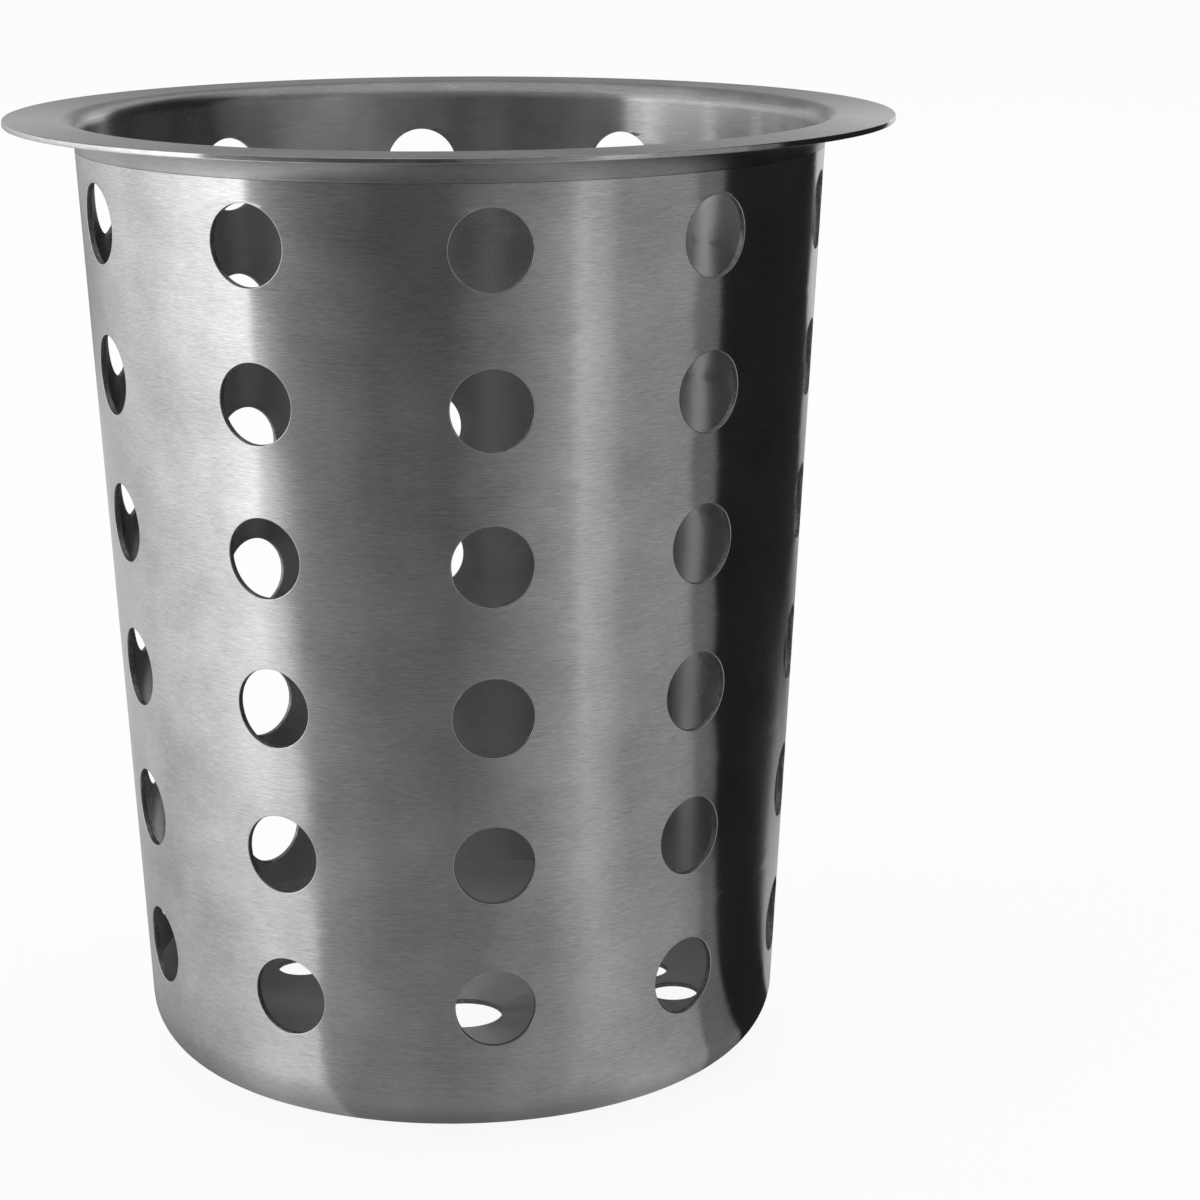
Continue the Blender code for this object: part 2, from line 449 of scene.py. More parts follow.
lean = math.atan(WALL_LEAN)
bend_height = UNDERSIDE - BEND_RADIUS
crease = math.degrees(math.asin((RING_LOW - bend_height) / BEND_RADIUS))
bend_centre = (outer_radius(RING_LOW) + BEND_RADIUS * math.cos(math.radians(crease)), bend_height)
bend = arc(bend_centre, BEND_RADIUS, 180 - crease, 90, BEND_STEPS)
underside = towards_rim(bend_centre[0], UNDERSIDE)
tangent_height = HEIGHT - INNER_BEND * (1 - math.sin(lean))
inner_centre = (outer_radius(tangent_height) - SHEET + INNER_BEND * math.cos(lean), HEIGHT - INNER_BEND)
topside = towards_rim(inner_centre[0], HEIGHT)[::-1]
inner_bend = arc(inner_centre, INNER_BEND, 90, 180 - math.degrees(lean), BEND_STEPS)
inner_foot = [(outer_radius(RING_LOW) - SHEET, RING_LOW)]
ring = turned("rim_ring", bend + underside + topside + inner_bend + inner_foot + bend[:1])
close_up(ring)
print("crease", round(crease, 1), "degrees,", len(bend) + len(inner_bend), "rings in the two bends")

# %% [markdown]
# The ring's edges
#
# The bare edge of the flange is dressed round, as a finger would want it. The edge at the neck is only
# just broken, so that the crisp line under the flange stays crisp. Both are picked by place, as the
# holes' edges were.

# %% Rim edges
BARE_EDGE = 0.00018
NECK_EDGE = 0.00008


def is_bare_edge(place, edge):
    """The two edges of the sheet round the flange's outside."""
    return math.hypot(place.x, place.y) > RIM_RADIUS - SHEET / 4 and edge.calc_face_angle(0) > SHARP


def is_neck_edge(place, edge):
    """The outer edge of the sheet at the ring's low end."""
    return (place.z < RING_LOW + SHEET / 4
            and math.hypot(place.x, place.y) > outer_radius(RING_LOW) - SHEET / 4
            and edge.calc_face_angle(0) > SHARP)


bpy.ops.object.mode_set(mode="EDIT")
dressed = pick(ring, "edges", is_bare_edge)
bpy.ops.mesh.bevel(offset=BARE_EDGE, segments=3, affect="EDGES")
necked = pick(ring, "edges", is_neck_edge)
bpy.ops.mesh.bevel(offset=NECK_EDGE, segments=1, affect="EDGES")
bpy.ops.object.mode_set(mode="OBJECT")
smooth(ring)
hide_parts("rim_flange")
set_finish(ring, "rim_steel")
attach(ring, "root")
print(dressed, "bare edges dressed,", necked, "neck edges broken")

# %% [markdown]
# The pressed base
#
# The base is a shallow pan with a rounded corner and a short lip that the sleeve stands on. It is
# pulled from the lip down the corner to the edge of the flat, and the flat is one face.

# %% Base pan
CORNER_STEPS = 14

corner_centre = (FOOT_RADIUS - CORNER_RADIUS * math.tan((math.pi / 2 - lean) / 2), CORNER_RADIUS)
lip = [(outer_radius(PAN_HIGH), PAN_HIGH)]
corner = arc(corner_centre, CORNER_RADIUS, -math.degrees(lean), -90, CORNER_STEPS)
pan = turned("pressed_base", lip + corner)
bpy.ops.object.mode_set(mode="EDIT")
bpy.ops.mesh.edge_face_add()
bpy.ops.object.mode_set(mode="OBJECT")
thicken(pan)

# %% [markdown]
# The drain holes
#
# Water leaves by one hole in the middle and twelve smaller ones in four groups. They are cut with the
# boolean modifier, which is fine here: the base is flat, so the long faces that a boolean leaves can't
# be seen. The punches are joined first, so that one modifier cuts all holes, and their edges are eased.

# %% Drain holes
CENTRE_DRAIN = 0.0058
DRAIN_RADIUS = 0.0038
DRAIN_RING = 0.0333
DRAIN_STEP = math.radians(18.3)
DRAIN_GROUP = math.radians(121.5)
DRAIN_GROUPS = 4
DRAINS_PER_GROUP = 3
DRAIN_SIDES = 48
DRAIN_EDGE = 0.0001


def drain_places():
    """Middle and radius of every drain hole."""
    yield (0, 0), CENTRE_DRAIN
    for group in range(DRAIN_GROUPS):
        for step in range(DRAINS_PER_GROUP):
            angle = DRAIN_GROUP + group * math.tau / DRAIN_GROUPS + (step - 1) * DRAIN_STEP
            yield (DRAIN_RING * math.sin(angle), -DRAIN_RING * math.cos(angle)), DRAIN_RADIUS


let_go()
punches = []
for (x, y), radius in drain_places():
    bpy.ops.mesh.primitive_cylinder_add(vertices=DRAIN_SIDES, radius=radius, depth=4 * SHEET,
                                        location=(x, y, SHEET / 2))
    punches.append(bpy.context.object)
for punch in punches:
    punch.select_set(True)
bpy.ops.object.join()
punch = settle(bpy.context.object, "drain_punch")
modify(pan, "BOOLEAN", operation="DIFFERENCE", object=punch)
bpy.data.objects.remove(punch)


def is_drain_edge(place, edge):
    """The sharp edges of the drain holes, above and below."""
    return (math.hypot(place.x, place.y) < corner_centre[0] and len(edge.link_faces) == 2
            and edge.calc_face_angle() > SHARP)


bpy.ops.object.mode_set(mode="EDIT")
drained = pick(pan, "edges", is_drain_edge)
bpy.ops.mesh.bevel(offset=DRAIN_EDGE, segments=2, affect="EDGES")
bpy.ops.object.mode_set(mode="OBJECT")
smooth(pan)
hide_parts("base_pan")
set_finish(pan, "base_steel")
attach(pan, "root")
print(len(punches), "drain holes,", drained, "edges eased")

# %% [markdown]
# The round welds
#
# One weld joins the sleeve to the base and one joins it to the flared ring. Both are ground flush. The
# upper one keeps a fine step at the crease, where a grinding wheel doesn't reach.

# %% Round welds
def round_weld(name, node, low, high):
    """A closed band of weld between two heights, flush with the wall inside and out."""
    low_ring, high_ring = (outer_radius(low), low), (outer_radius(high), high)
    band = turned(name, [low_ring, high_ring])
    thicken(band)
    smooth(band)
    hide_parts(node)
    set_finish(band, "weld_steel")
    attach(band, "root")
    return band


base_weld = round_weld("base_seam_weld", "base_weld", PAN_HIGH, SLEEVE_LOW)
rim_weld = round_weld("rim_seam_weld", "rim_weld", SLEEVE_HIGH, RING_LOW)

# %% [markdown]
# Nodes in a few words
#
# A material is a tree of nodes, and most of its lines would only say which socket goes where. The
# helpers here say it once: add a node, do a sum on sockets or plain numbers, find where a point lies in
# the object's own coordinates, and spread the middle of a noise over a range.

# %% Node helpers
NOISE_MIDDLE = (0.3, 0.7)


def node(tree, kind, **settings):
    """Add a node and set its properties."""
    made = tree.nodes.new(kind)
    for setting, value in settings.items():
        setattr(made, setting, value)
    return made


def math_node(tree, operation, first, second=None, third=None):
    """A Math node on sockets or plain numbers."""
    made = node(tree, "ShaderNodeMath", operation=operation)
    for slot, value in enumerate((first, second, third)):
        if isinstance(value, bpy.types.NodeSocket):
            tree.links.new(value, made.inputs[slot])
        elif value is not None:
            made.inputs[slot].default_value = value
    return made.outputs[0]


def place_of(tree):
    """x, y and z of each point, in the object's own coordinates."""
    split = node(tree, "ShaderNodeSeparateXYZ")
    tree.links.new(node(tree, "ShaderNodeTexCoord").outputs["Object"], split.inputs[0])
    return split.outputs


def vector_of(tree, *parts):
    """A vector made of two or three sockets."""
    made = node(tree, "ShaderNodeCombineXYZ")
    for slot, part in enumerate(parts):
        tree.links.new(part, made.inputs[slot])
    return made.outputs[0]


def off_axis(tree, x, y):
    """How far a point lies from the axis."""
    squares = math_node(tree, "ADD", math_node(tree, "POWER", x, 2), math_node(tree, "POWER", y, 2))
    return math_node(tree, "SQRT", squares)


def remap(tree, value, low, high):
    """Spread the middle of a noise over a range."""
    made = node(tree, "ShaderNodeMapRange")
    tree.links.new(value, made.inputs["Value"])
    for slot, number in zip(("From Min", "From Max", "To Min", "To Max"), (*NOISE_MIDDLE, low, high)):
        made.inputs[slot].default_value = number
    return made.outputs[0]


print("a noise counts from", NOISE_MIDDLE[0], "to", NOISE_MIDDLE[1])

# %% [markdown]
# The grain
#
# The grain of the finish runs round the cup. It does two things. It is visible as fine short streaks,
# and it spreads each reflection across the grain, so lights turn into soft upright bands. The streaks
# come from noise that is stretched along the round: its coordinate is slow in x and y and fast in
# height plus radius, so one material fits the wall, the flange and the base. The spread comes from
# anisotropic roughness, whose tangent is the direction round the axis, turned a quarter.

# %% Grain
GRAIN_FALLOFF = 0.6
CLOUD_DETAIL = 2


def grain(tree, length, pitch, detail):
    """Noise in streaks of that length and pitch, which run round the axis."""
    x, y, z = place_of(tree)
    across = math_node(tree, "ADD", z, off_axis(tree, x, y))
    stretched = vector_of(tree, math_node(tree, "MULTIPLY", x, 1 / length),
                          math_node(tree, "MULTIPLY", y, 1 / length),
                          math_node(tree, "MULTIPLY", across, 1 / pitch))
    noise = node(tree, "ShaderNodeTexNoise")
    noise.inputs["Scale"].default_value = 1
    noise.inputs["Detail"].default_value = detail
    noise.inputs["Roughness"].default_value = GRAIN_FALLOFF
    tree.links.new(stretched, noise.inputs["Vector"])
    return noise.outputs["Fac"]


def clouds(tree, size):
    """Broad soft variation, where the belt pressed more or less."""
    noise = node(tree, "ShaderNodeTexNoise")
    noise.inputs["Scale"].default_value = 1 / size
    noise.inputs["Detail"].default_value = CLOUD_DETAIL
    tree.links.new(node(tree, "ShaderNodeTexCoord").outputs["Object"], noise.inputs["Vector"])
    return noise.outputs["Fac"]


def round_direction(tree):
    """The direction round the axis at each point, for the tangent."""
    x, y, _ = place_of(tree)
    world = node(tree, "ShaderNodeVectorTransform", vector_type="VECTOR",
                 convert_from="OBJECT", convert_to="WORLD")
    tree.links.new(vector_of(tree, math_node(tree, "MULTIPLY", y, -1), x), world.inputs[0])
    unit = node(tree, "ShaderNodeVectorMath", operation="NORMALIZE")
    tree.links.new(world.outputs[0], unit.inputs[0])
    return unit.outputs[0]


print("each finer layer of the grain weighs", GRAIN_FALLOFF, "of the last")

# %% [markdown]
# Bare metal
#
# All finishes here are the same metal, and differ in tone and roughness. So one helper makes the metal,
# and the two functions that it is given make the sockets for these two.

# %% Bare metal
def shader_of(material):
    """The material's main shader."""
    return material.node_tree.nodes["Principled BSDF"]


def steel_of(name, grey, roughness):
    """A metal whose tone and roughness are sockets that two functions make in its tree."""
    material = bpy.data.materials.new(name)
    material.use_nodes = True
    tree = material.node_tree
    shader = shader_of(material)
    colour = node(tree, "ShaderNodeCombineColor")
    tone = grey(tree)
    for channel in range(3):
        tree.links.new(tone, colour.inputs[channel])
    tree.links.new(colour.outputs[0], shader.inputs["Base Color"])
    tree.links.new(roughness(tree), shader.inputs["Roughness"])
    shader.inputs["Metallic"].default_value = 1
    print("finish", name)
    return material


# %% [markdown]
# Brushed steel
#
# Three noises make the tone of the brushed steel: streaks, scratches that are three times as long and
# half as wide, and broad clouds where the belt pressed more or less. The clouds also change the
# roughness a little, and a hint of the streaks goes into the bump. Every piece gets the finish that
# belongs to its slot.

# %% Brushed steel
STREAK_LENGTH = 0.00135
STREAK_PITCH = 0.00014
PATCH_SIZE = 0.012
STREAK_SHARE = 0.4
SCRATCH_SHARE = 0.25
PATCH_SHARE = 0.35
ROUGHNESS = 0.2
UNEVENNESS = 0.02
BUMP_STRENGTH = 0.15
BUMP_DEPTH = 0.000003
QUARTER_TURN = 0.25


def brushed_steel(name, tone, contrast, dullness=ROUGHNESS):
    """Steel of that tone, brushed round the axis."""
    def grey(tree):
        streaks = grain(tree, STREAK_LENGTH, STREAK_PITCH, detail=2)
        scratches = grain(tree, 3 * STREAK_LENGTH, STREAK_PITCH / 2, detail=1)
        fine = math_node(tree, "MULTIPLY_ADD", streaks, STREAK_SHARE,
                         math_node(tree, "MULTIPLY", scratches, SCRATCH_SHARE))
        mixed = math_node(tree, "MULTIPLY_ADD", clouds(tree, PATCH_SIZE), PATCH_SHARE, fine)
        return remap(tree, mixed, tone - contrast, tone + contrast)

    def roughness(tree):
        return remap(tree, clouds(tree, PATCH_SIZE), dullness - UNEVENNESS, dullness + UNEVENNESS)

    material = steel_of(name, grey, roughness)
    tree = material.node_tree
    shader = shader_of(material)
    bump = node(tree, "ShaderNodeBump")
    bump.inputs["Strength"].default_value = BUMP_STRENGTH
    bump.inputs["Distance"].default_value = BUMP_DEPTH
    tree.links.new(grain(tree, STREAK_LENGTH, STREAK_PITCH, detail=1), bump.inputs["Height"])
    tree.links.new(bump.outputs[0], shader.inputs["Normal"])
    tree.links.new(round_direction(tree), shader.inputs["Tangent"])
    shader.inputs["Anisotropic"].default_value = 1
    shader.inputs["Anisotropic Rotation"].default_value = QUARTER_TURN
    return material


finishes = {
    "wall_steel": brushed_steel("wall_steel_brushed", tone=0.60, contrast=0.21),
    "rim_steel": brushed_steel("rim_steel_brushed", tone=0.60, contrast=0.20),
    "base_steel": brushed_steel("base_steel_brushed", tone=0.60, contrast=0.21),
    "weld_steel": brushed_steel("weld_steel_brushed", tone=0.59, contrast=0.21),
}
for piece in (wall, side_weld, ring, pan, base_weld, rim_weld):
    piece.data.materials.clear()
    piece.data.materials.append(finishes[piece["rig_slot"]])
print(len(finishes), "finishes")

# %% [markdown]
# Other finishes
#
# The belt doesn't reach everywhere. The faces that the punch left in the holes are bare, darker and
# torn. Inside, the wall keeps the duller finish of the mill, and the pressed base is matter still,
# because it was drawn over a tool: it is so rough that a part of it scatters light as paint does. Its
# tone is lighter as well, which is painted light for the light that falls in at the mouth. The hollow
# under the flange has a darker tone, which is painted shade for the shade under the flange, so it is
# darker than the wall below the crease.

# %% Other finishes
TORN_TONE_SIZE = 0.0006
TORN_CONTRAST = 0.08
TORN_DULL_SIZE = 0.0004
TORN_ROUGHNESS = (0.38, 0.52)
DRAWN_METALLIC = 0.9


def sheared_steel(name, tone):
    """The bare face that a punch leaves: darker and matter than the brushed sheet, with a torn grain."""
    def grey(tree):
        return remap(tree, clouds(tree, TORN_TONE_SIZE), tone - TORN_CONTRAST, tone + TORN_CONTRAST)

    def roughness(tree):
        return remap(tree, clouds(tree, TORN_DULL_SIZE), *TORN_ROUGHNESS)

    return steel_of(name, grey, roughness)


sheared = sheared_steel("sheared_edge", tone=0.26)
mill = brushed_steel("wall_inside", tone=0.53, contrast=0.12, dullness=0.26)
# partly painted light: the base's inside is rougher and a little less metallic, as drawn steel is, and
# its tone is lighter than the wall's, for the light that falls in at the mouth
drawn_and_painted_light = brushed_steel("base_inside", tone=0.74, contrast=0.10, dullness=0.55)
# painted shade: the hollow under the flange gets a darker tone than the brushed wall, for the shade under
# the flange
painted_hollow_shade = brushed_steel("hollow_painted_shade", tone=0.43, contrast=0.12, dullness=0.30)
shader_of(drawn_and_painted_light).inputs["Metallic"].default_value = DRAWN_METALLIC

# %% [markdown]
# Where the finish changes
#
# Each of these is a second or third finish of its piece. The lighter inside of the base is partly
# painted light, and the darker hollow under the flange is painted shade. Each finish is given to faces
# that are picked by where

# %% Inside, hollow and holes
NEARLY_LEVEL = 0.99
NEARLY_UPRIGHT = 0.1
NEARLY_INWARDS = -0.9
HALFWAY = 0.5


def refinish(piece, finish, test):
    """Give another finish to the faces that pass the test, by middle, normal and outward direction."""
    piece.data.materials.append(finish)
    slot = len(piece.data.materials) - 1
    count = 0
    for face in piece.data.polygons:
        away = Vector((face.center.x, face.center.y, 0)).normalized()
        if test(face.center, face.normal, face.normal.dot(away)):
            face.material_index = slot
            count += 1
    print(count, "faces of", piece.name, "are", finish.name)


def inside_the_wall(middle, normal, outwards):
    """Whether a face of the wall, the ring or a weld looks to the axis."""
    return outwards < NEARLY_INWARDS


def inside_the_base(middle, normal, outwards):
    """Whether a face of the base looks up, or inwards from the corner."""
    return normal.z > NEARLY_UPRIGHT or outwards < -HALFWAY


def in_the_hollow(middle, normal, outwards):
    """Whether a face of the ring lies in the outer bend."""
    return (-NEARLY_LEVEL < normal.z < -NEARLY_UPRIGHT and outwards > 0
            and math.hypot(middle.x, middle.y) < bend_centre[0])


def round_a_hole(middle, normal, outwards):
    """Whether a face of the wall looks along the sheet, into a hole."""
    return abs(outwards) < HALFWAY and not at_an_end(middle)


def round_a_drain(middle, normal, outwards):
    """Whether a face of the base stands upright in a drain hole."""
    return abs(normal.z) < HALFWAY and math.hypot(middle.x, middle.y) < corner_centre[0]


for piece in (wall, ring, side_weld, base_weld, rim_weld):
    refinish(piece, mill, inside_the_wall)
refinish(wall, sheared, round_a_hole)
# the upward and inward faces of the base get the lighter tone, which is partly painted light
refinish(pan, drawn_and_painted_light, inside_the_base)
refinish(pan, sheared, round_a_drain)
# the faces in the hollow under the flange get the painted shade
refinish(ring, painted_hollow_shade, in_the_hollow)

# %% [markdown]
# The floor and the air
#
# The floor is plain and pale. To the camera it is mostly plain white, as in a product picture, and it
# keeps only a hint of the cup's shadow. The steel hardly sees it, because the tent of the next cells
# lies on it.

# %% Floor and world
FLOOR_SIZE = 12
FLOOR_TONE = 0.88
FLOOR_ROUGHNESS = 0.9
FLOOR_GLOSS = 0.1
WHITENESS = 0.92
AIR_LIGHT = 0.55


def white_background():
    """A world that is white where it is looked at, and gentle where it lights."""
    world = bpy.data.worlds.new("studio")
    bpy.context.scene.world = world
    world.use_nodes = True
    tree = world.node_tree
    background = tree.nodes["Background"]
    background.inputs["Color"].default_value = (1, 1, 1, 1)
    rays = node(tree, "ShaderNodeLightPath").outputs
    mirrored = math_node(tree, "MAXIMUM", rays["Is Glossy Ray"], rays["Is Transmission Ray"])
    seen = math_node(tree, "MAXIMUM", rays["Is Camera Ray"], mirrored)
    strength = math_node(tree, "MULTIPLY_ADD", seen, 1 - AIR_LIGHT, AIR_LIGHT)
    tree.links.new(strength, background.inputs["Strength"])


def pale_floor():
    """A wide plane that is nearly white to the camera."""
    let_go()
    bpy.ops.mesh.primitive_plane_add(size=FLOOR_SIZE, location=(0, 0, 0))
    floor = bpy.context.object
    floor.name = "floor"
    material = bpy.data.materials.new("pale_floor")
    material.use_nodes = True
    tree = material.node_tree
    shader = shader_of(material)
    shader.inputs["Base Color"].default_value = (FLOOR_TONE, FLOOR_TONE, FLOOR_TONE, 1)
    shader.inputs["Roughness"].default_value = FLOOR_ROUGHNESS
    shader.inputs["Specular IOR Level"].default_value = FLOOR_GLOSS
    glow = node(tree, "ShaderNodeEmission")
    mix = node(tree, "ShaderNodeMixShader")
    rays = node(tree, "ShaderNodeLightPath").outputs
    tree.links.new(math_node(tree, "MULTIPLY", rays["Is Camera Ray"], WHITENESS), mix.inputs[0])
    tree.links.new(shader.outputs[0], mix.inputs[1])
    tree.links.new(glow.outputs[0], mix.inputs[2])
    tree.links.new(mix.outputs[0], tree.nodes["Material Output"].inputs["Surface"])
    floor.data.materials.append(material)


white_background()
pale_floor()
print("floor", FLOOR_SIZE, "m wide")

# %% [markdown]
# What the steel sees
#
# Polished metal has hardly a look of its own: it shows the room. A photographer stands cards round it,
# white ones for light bands and black ones for depth, just out of the picture. Here the cards are one
# turned tent that lies on the floor round the foot and rises at the edge of the studio. It is seen only
# in reflections. Each line of a table is one direction round the cup, with how light the tent is there:
# close to the foot, further out on the floor, on the upright side, and high up. One table is the room.
# The other is a large white sheet at the left. Azimuths are in degrees from the front to the right.

# %% Tables of light
ROOM = (
    # azimuth, near, far, upright, high
    (-180, 0.36, 0.36, 0.28, 0.20),
    (-60, 0.42, 0.42, 0.22, 0.25),
    (-45, 0.40, 0.30, 0.10, 0.25),
    (-30, 0.36, 0.22, 0.05, 0.21),
    (-22, 0.29, 0.19, 0.02, 0.18),
    (-2, 0.23, 0.17, 0.02, 0.16),
    (4, 0.24, 0.19, 0.12, 0.16),
    (24, 0.34, 0.33, 0.22, 0.16),
    (34, 0.46, 0.46, 0.36, 0.16),
    (37, 0.48, 0.64, 0.60, 0.16),
    (46, 0.44, 0.52, 0.46, 0.16),
    (50, 0.38, 0.39, 0.31, 0.15),
    (76, 0.32, 0.37, 0.28, 0.09),
    (140, 0.60, 0.12, 0.60, 0.32),
    (160, 0.75, 0.40, 0.60, 0.40),
    (174, 0.90, 0.90, 0.22, 0.20),
    (180, 0.75, 0.75, 0.20, 0.18),
)
WHITE_SHEET = (
    # azimuth, near, far, upright, high
    (-180, 0.75, 0.75, 0.15, 0.13),
    (-150, 0.45, 0.60, 0.40, 0.16),
    (-110, 0.45, 0.75, 0.80, 0.25),
    (-80, 0.50, 0.93, 1.15, 0.32),
    (-60, 0.56, 1.20, 1.50, 0.32),
    (-48, 0.70, 1.30, 1.50, 0.32),
    (-38, 0.90, 1.30, 1.50, 0.32),
)
print(len(ROOM), "directions in the room,", len(WHITE_SHEET), "on the white sheet")

# %% [markdown]
# From the tables to tones
#
# Each column of a table becomes a colour ramp over the azimuth. The tent goes smoothly from one ramp to
# the next: from near to far along the floor, on to its upright side, and from there to what is high up.
# Each pair of numbers here says where such a change starts and where it has ended, in metres from the
# axis or above the floor. Above the floor a table gets lighter by a factor, its glow.

# %% Tones of the tent
NEAR_TO_FAR = (0.05, 0.25)
FAR_TO_UPRIGHT = (0.45, 0.7)
UPRIGHT_TO_HIGH = (0.25, 0.5)
FLOOR_TO_GLOW = (0, 0.12)
ROOM_GLOW = 1.3
SHEET_GLOW = 1.75
MIX_COLOURS = (6, 7)
MIXED_COLOUR = 2


def ramp_of(tree, azimuth, panels, column):
    """The tent's tone round the cup, for one column of a table."""
    made = node(tree, "ShaderNodeValToRGB")
    ramp = made.color_ramp
    ramp.elements.remove(ramp.elements[1])
    for place, panel in enumerate(panels):
        share = (panel[0] + 180) / 360
        stop = ramp.elements[0] if place == 0 else ramp.elements.new(share)
        stop.position = share
        stop.color = (panel[column], panel[column], panel[column], 1)
    tree.links.new(azimuth, made.inputs[0])
    return made.outputs[0]


def blend(tree, share, first, second):
    """Mix two tones."""
    mix = node(tree, "ShaderNodeMix", data_type="RGBA")
    tree.links.new(share, mix.inputs[0])
    for tone, slot in zip((first, second), MIX_COLOURS):
        tree.links.new(tone, mix.inputs[slot])
    return mix.outputs[MIXED_COLOUR]


def ease(tree, value, start, end):
    """0 before start, 1 after end, smooth between."""
    made = node(tree, "ShaderNodeMapRange", interpolation_type="SMOOTHSTEP")
    tree.links.new(value, made.inputs["Value"])
    made.inputs["From Min"].default_value = start
    made.inputs["From Max"].default_value = end
    return made.outputs[0]


def scaled(tree, tone, factor):
    """A tone times a factor."""
    made = node(tree, "ShaderNodeVectorMath", operation="SCALE")
    tree.links.new(tone, made.inputs[0])
    tree.links.new(factor, made.inputs["Scale"])
    return made.outputs[0]


def plain(tree, tone):
    """One grey for all directions."""
    made = node(tree, "ShaderNodeRGB")
    made.outputs[0].default_value = (tone, tone, tone, 1)
    return made.outputs[0]


def tones(tree, panels, azimuth, away, z, glow):
    """The tones of one table, from the foot outwards and up, lighter by its glow above the floor."""
    near, far, upright, high = (ramp_of(tree, azimuth, panels, column) for column in (1, 2, 3, 4))
    tone = blend(tree, ease(tree, away, *NEAR_TO_FAR), near, far)
    tone = blend(tree, ease(tree, away, *FAR_TO_UPRIGHT), tone, upright)
    tone = blend(tree, ease(tree, z, *UPRIGHT_TO_HIGH), tone, high)
    return scaled(tree, tone, math_node(tree, "MULTIPLY_ADD", ease(tree, z, *FLOOR_TO_GLOW), glow - 1, 1))


print("above the floor the room is", ROOM_GLOW, "times and the sheet", SHEET_GLOW, "times as light")

# %% [markdown]
# Cards and shade
#
# The white sheet ends at a crisp edge, and a grey card and a black one stand at the right. The black
# one leaves a strip of room at the cup's outline. An edge is four angles in degrees: its azimuth where
# the floor is one swing radius from the axis, how far it swings as the floor goes out, its last
# azimuth, and how much more it swings right under the foot. So a band of light on the cup keeps its
# edge from the rim down to the base. At the foot the cup shades the floor that it stands on. A shade is
# where it starts and where it has ended, in metres from the axis, and the share of light left in it.

# %% Cards and shade
SWING_RADIUS = 0.069
SHEET_EDGE = (-35, -13, -62, -14)
GREY_EDGE = (65, 24, 76, 0)
BLACK_EDGE = (76, 14, 87, 0)
BLACK_END = (104, 26, 146, 0)
EDGE_SOFTNESS = math.radians(1)
GREY_TONE = 0.19
BLACK_TONE = 0.02
CONTACT_SHADE = (0.042, 0.049, 0.65)
SHEET_SHADE = (0.048, 0.063, 0.55)


def past(tree, turn, away, edge):
    """0 before a card's edge and 1 past it. The edge swings with the distance, up to a last azimuth."""
    start, swing, last, more_at_foot = (math.radians(angle) for angle in edge)
    distance = math_node(tree, "LOGARITHM", math_node(tree, "DIVIDE", away, SWING_RADIUS), math.e)
    swung = math_node(tree, "MULTIPLY_ADD", distance, swing, start)
    swung = math_node(tree, "MULTIPLY_ADD", math_node(tree, "MINIMUM", distance, 0), more_at_foot, swung)
    placed = math_node(tree, "MAXIMUM" if swing < 0 else "MINIMUM", swung, last)
    return ease(tree, math_node(tree, "SUBTRACT", turn, placed), -EDGE_SOFTNESS, EDGE_SOFTNESS)


def light_left(tree, away, shade):
    """How much light a shade leaves on the floor: a share under the foot, and all of it further out."""
    start, end, left = shade
    return math_node(tree, "MULTIPLY_ADD", ease(tree, away, start, end), 1 - left, left)


print("grey card from", GREY_EDGE[0], "and black card from", BLACK_EDGE[0], "to", BLACK_END[0], "degrees")

# %% [markdown]
# The tent
#
# The tent is one more turned sheet: out along the floor, up the side and back over the top. Its
# material puts the parts together, from the room and the white sheet to the cards and the ceiling. Only
# reflections see it, so it lights nothing and hides nothing.

# %% Reflection tent
TENT_FOOT = 0.0395
TENT_RADIUS = 0.8
TENT_HEIGHT = 1.4
TENT_LIFT = 0.0003
CEILING_START = 0.8
CEILING_TONE = 0.45


def tent_material():
    """Light that depends on the direction round the cup and on the distance and height."""
    material = bpy.data.materials.new("tent")
    material.use_nodes = True
    tree = material.node_tree
    tree.nodes.remove(shader_of(material))
    x, y, z = place_of(tree)
    turn = math_node(tree, "ARCTAN2", x, math_node(tree, "MULTIPLY", y, -1))
    azimuth = math_node(tree, "MULTIPLY_ADD", turn, 1 / math.tau, 0.5)
    away = off_axis(tree, x, y)
    room = tones(tree, ROOM, azimuth, away, z, ROOM_GLOW)
    sheet = tones(tree, WHITE_SHEET, azimuth, away, z, SHEET_GLOW)
    sheet = scaled(tree, sheet, light_left(tree, away, SHEET_SHADE))
    before_end = math_node(tree, "SUBTRACT", 1, past(tree, turn, away, BLACK_END))
    for edge, tone in ((GREY_EDGE, GREY_TONE), (BLACK_EDGE, BLACK_TONE)):
        on_card = math_node(tree, "MULTIPLY", past(tree, turn, away, edge), before_end)
        room = blend(tree, on_card, room, plain(tree, tone))
    tone = blend(tree, past(tree, turn, away, SHEET_EDGE), sheet, room)
    tone = blend(tree, ease(tree, z, CEILING_START, TENT_HEIGHT), tone, plain(tree, CEILING_TONE))
    glow = node(tree, "ShaderNodeEmission")
    tree.links.new(tone, glow.inputs["Color"])
    tree.links.new(light_left(tree, away, CONTACT_SHADE), glow.inputs["Strength"])
    tree.links.new(glow.outputs[0], tree.nodes["Material Output"].inputs["Surface"])
    return material


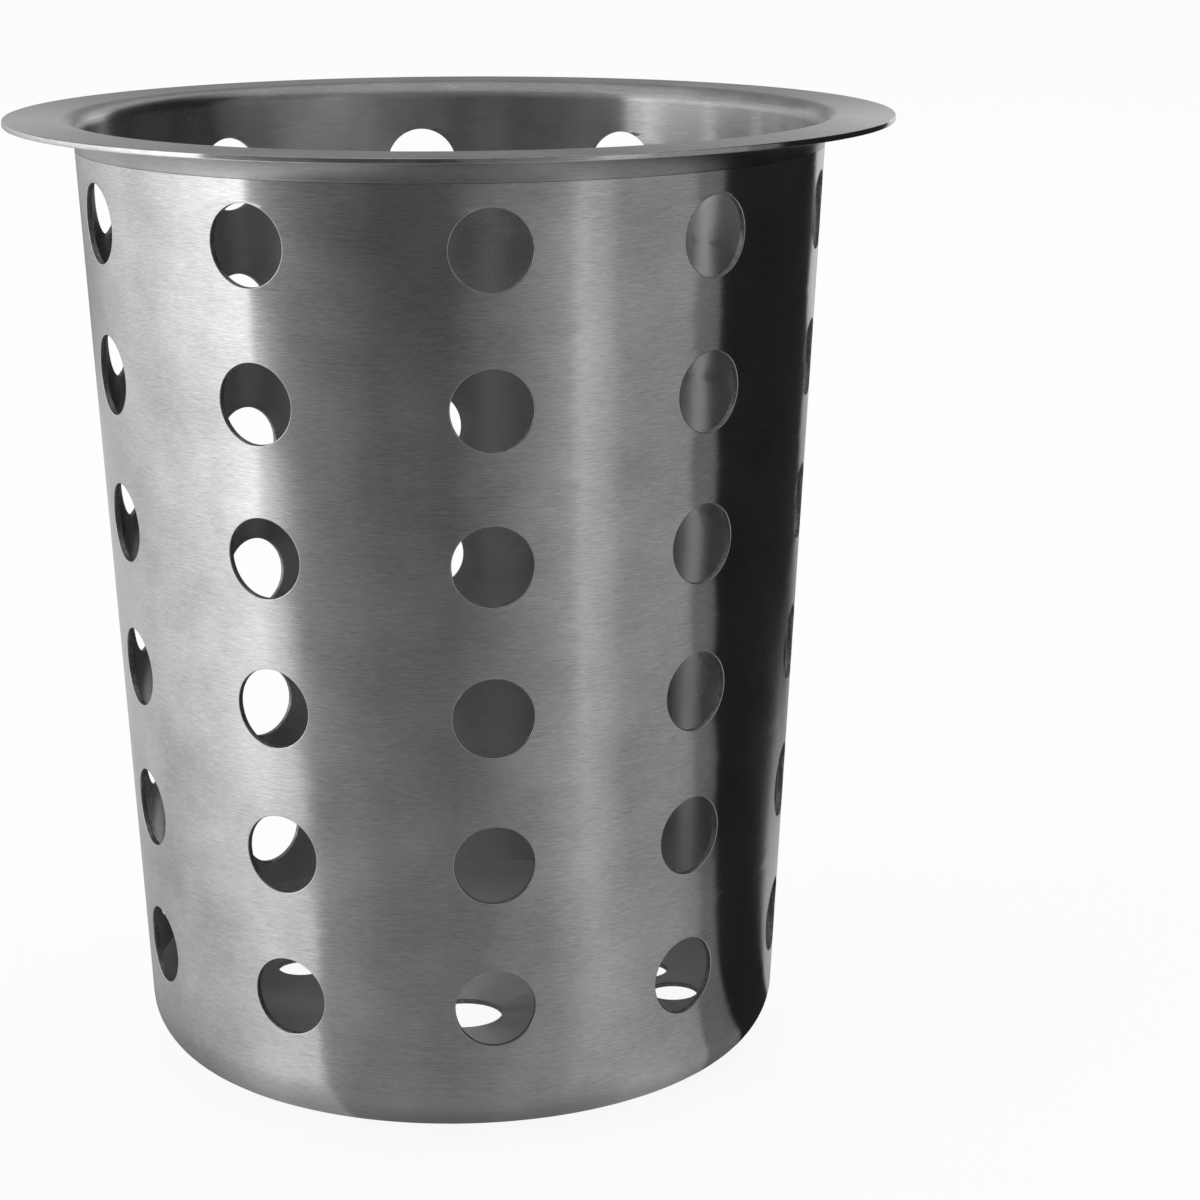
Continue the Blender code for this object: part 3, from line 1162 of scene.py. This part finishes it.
tent = turned("tent", [(TENT_FOOT, TENT_LIFT), (TENT_RADIUS, TENT_LIFT), (TENT_RADIUS, TENT_HEIGHT),
                       (TENT_FOOT, TENT_HEIGHT)])
tent.data.materials.append(tent_material())
for ray in ("camera", "diffuse", "transmission", "volume_scatter", "shadow"):
    setattr(tent, "visible_" + ray, False)
print("tent", 2 * TENT_RADIUS, "m wide and", TENT_HEIGHT, "m high")

# %% [markdown]
# Soft lamps
#
# The lamps light the floor and draw the soft shadow. A wide lamp overhead does most of it, and a second
# one at the left fills in. They stay out of the reflections, because the tent stands for what the steel
# sees.

# %% Lamps
def soft_lamp(name, place, size, power):
    """A square lamp that looks at the cup."""
    let_go()
    bpy.ops.object.light_add(type="AREA", location=place)
    lamp = bpy.context.object
    lamp.name = name
    lamp.rotation_euler = (-Vector(place)).to_track_quat("-Z", "Y").to_euler()
    lamp.data.size = size
    lamp.data.energy = power
    lamp.visible_glossy = False
    print(name, power, "W")


soft_lamp("overhead_lamp", (0.3, 0.5, 2.0), size=1.8, power=16)
soft_lamp("left_lamp", (-1.6, -0.6, 1.2), size=1.2, power=8)

# %% [markdown]
# The camera
#
# The camera's place and lens come from a fit to the outlines of rim, wall and foot and to the holes in
# the photograph, at the cup's real size. It looks down a little, from close by, with a long lens.

# %% Camera
CAMERA_PLACE = (0, -0.45058, 0.17741)
CAMERA_YAW = math.radians(2.66)
CAMERA_PITCH = math.radians(13.96)
CAMERA_ROLL = math.radians(0.17)
SENSOR_WIDTH = 36
LENS = 94.41
FAR_CLIP = 50

let_go()
bpy.ops.object.camera_add(location=CAMERA_PLACE)
camera = bpy.context.object
camera.name = "camera"
level = Matrix.Rotation(-CAMERA_YAW, 3, "Z") @ Matrix.Rotation(math.radians(90) - CAMERA_PITCH, 3, "X")
camera.rotation_euler = (level @ Matrix.Rotation(-CAMERA_ROLL, 3, "Z")).to_euler()
camera.data.sensor_width = SENSOR_WIDTH
camera.data.sensor_fit = "HORIZONTAL"
camera.data.lens = LENS
camera.data.clip_end = FAR_CLIP
bpy.context.scene.camera = camera
bpy.context.scene.view_settings.view_transform = "Standard"
print("camera", tuple(round(value, 3) for value in camera.location))
